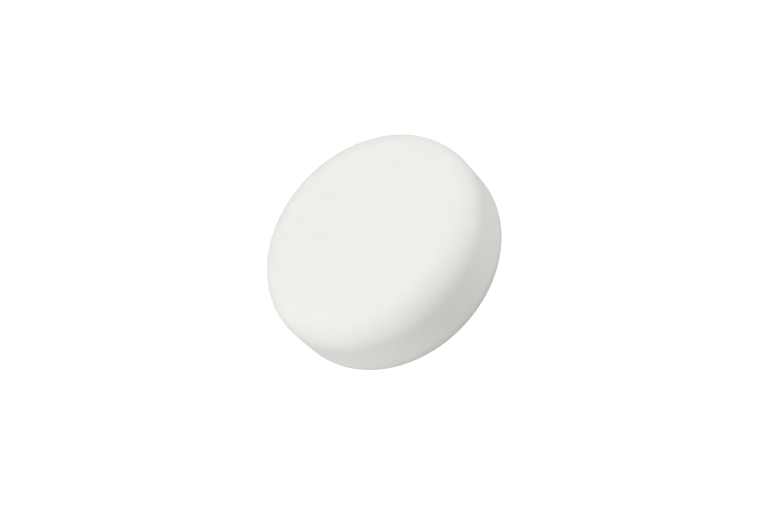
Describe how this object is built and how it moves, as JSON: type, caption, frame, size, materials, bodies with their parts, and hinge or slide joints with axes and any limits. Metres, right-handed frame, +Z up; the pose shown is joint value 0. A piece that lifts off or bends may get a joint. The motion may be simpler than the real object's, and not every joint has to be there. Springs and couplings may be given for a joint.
{
  "type": "nail buffer block",
  "caption": "Round puck-shaped nail buffer block: a foam core under a fine white abrasive cover, with a flat working face, softly rounded shoulders and a flat back closed by a disc.",
  "frame": {"origin": "centre of the flat rear face, which the block rests on", "axes": "+Z up along the puck's axis, from the rear face to the working face; the puck is round, so X and Y are alike"},
  "size_m": [0.05, 0.05, 0.02],
  "materials": {
    "grit_coat": "matte",
    "backing_film": "matte",
    "glue_film": "satin",
    "foam": "matte"
  },
  "bodies": {
    "root": {"cover_grit_coat": "grit_coat", "rear_grit_coat": "grit_coat", "cover_backing_film": "backing_film", "rear_backing_film": "backing_film", "cover_glue_film": "glue_film", "rear_glue_film": "glue_film", "foam_core": "foam"}
  },
  "joints": []
}
